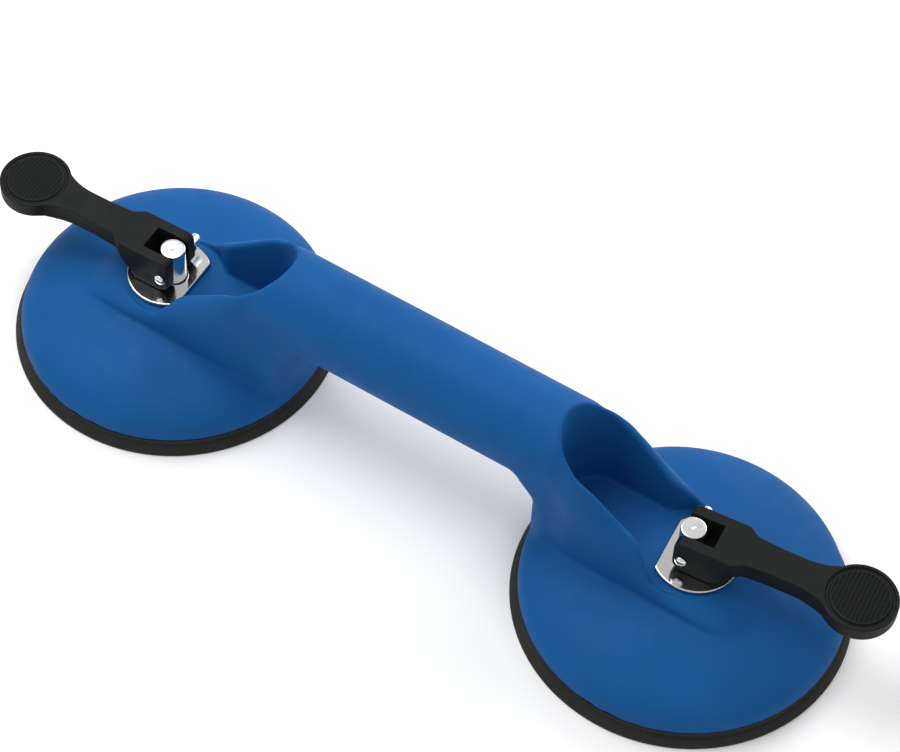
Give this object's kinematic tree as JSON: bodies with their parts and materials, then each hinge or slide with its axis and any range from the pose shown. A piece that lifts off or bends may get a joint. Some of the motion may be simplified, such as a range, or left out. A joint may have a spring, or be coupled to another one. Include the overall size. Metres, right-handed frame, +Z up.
{
  "type": "vacuum suction cup",
  "caption": "Two-cup vacuum lifter: a round bridge handle joins two domed suction cups, each with a rubber pad, a pull stud and a forked cam lever with a round thumb disc.",
  "frame": {"origin": "midway between the two stud axes, in the plane of the pads' sealing faces", "axes": "+X along the handle towards the right cup, +Z up from the pads through the studs, +Y away from the side that the pins' domed heads face"},
  "size_m": [0.3554, 0.1182, 0.0694],
  "materials": {
    "blue_plastic": "satin moulded ABS",
    "black_plastic": "satin moulded nylon",
    "black_rubber": "soft moulded rubber, satin",
    "bright_steel": "bright plated steel",
    "zinc_steel": "zinc-plated steel",
    "bush_brass": "turned brass"
  },
  "bodies": {
    "housing": {"housing": "blue_plastic", "grip_cover": "blue_plastic", "cover_screw_left": "zinc_steel", "cover_screw_right": "zinc_steel", "guide_bush_left": "bush_brass", "guide_bush_right": "bush_brass"},
    "pad_left": {"rubber_pad_left": "black_rubber", "return_spring_left": "zinc_steel", "wear_plate_left": "bright_steel"},
    "pad_right": {"rubber_pad_right": "black_rubber", "return_spring_right": "zinc_steel", "wear_plate_right": "bright_steel"},
    "plunger_left": {"stud_left": "bright_steel", "backing_disc_left": "zinc_steel", "pivot_pin_left": "bright_steel", "pin_clip_left": "zinc_steel"},
    "plunger_right": {"stud_right": "bright_steel", "backing_disc_right": "zinc_steel", "pivot_pin_right": "bright_steel", "pin_clip_right": "zinc_steel"},
    "lever_left": {"lever_left": "black_plastic"},
    "lever_right": {"lever_right": "black_plastic"}
  },
  "joints": [
    {"name": "swivel_left", "type": "hinge", "parent": "housing", "child": "pad_left", "pos_m": [-0.1058, 0, 0], "axis": [0, 0, 1], "range_deg": [-70, 70]},
    {"name": "swivel_right", "type": "hinge", "parent": "housing", "child": "pad_right", "pos_m": [0.1058, 0, 0], "axis": [0, 0, 1], "range_deg": [-70, 70]},
    {"name": "lift_left", "type": "slide", "parent": "pad_left", "child": "plunger_left", "axis": [0, 0, 1], "range_m": [-0.003, 0], "deforming": ["rubber_pad_left", "return_spring_left"]},
    {"name": "lift_right", "type": "slide", "parent": "pad_right", "child": "plunger_right", "axis": [0, 0, 1], "range_m": [-0.003, 0], "deforming": ["rubber_pad_right", "return_spring_right"]},
    {"name": "lever_left", "type": "hinge", "parent": "plunger_left", "child": "lever_left", "pos_m": [-0.1058, 0, 0.0354], "axis": [-0.0305, 0.9995, 0], "range_deg": [0, 90]},
    {"name": "lever_right", "type": "hinge", "parent": "plunger_right", "child": "lever_right", "pos_m": [0.1058, 0, 0.0354], "axis": [0.1045, -0.9945, 0], "range_deg": [0, 90]}
  ],
  "couplings": [
    {"joint": "lift_left", "follows": "lever_left", "m_per_rad": -0.0019099},
    {"joint": "lift_right", "follows": "lever_right", "m_per_rad": -0.0019099}
  ]
}
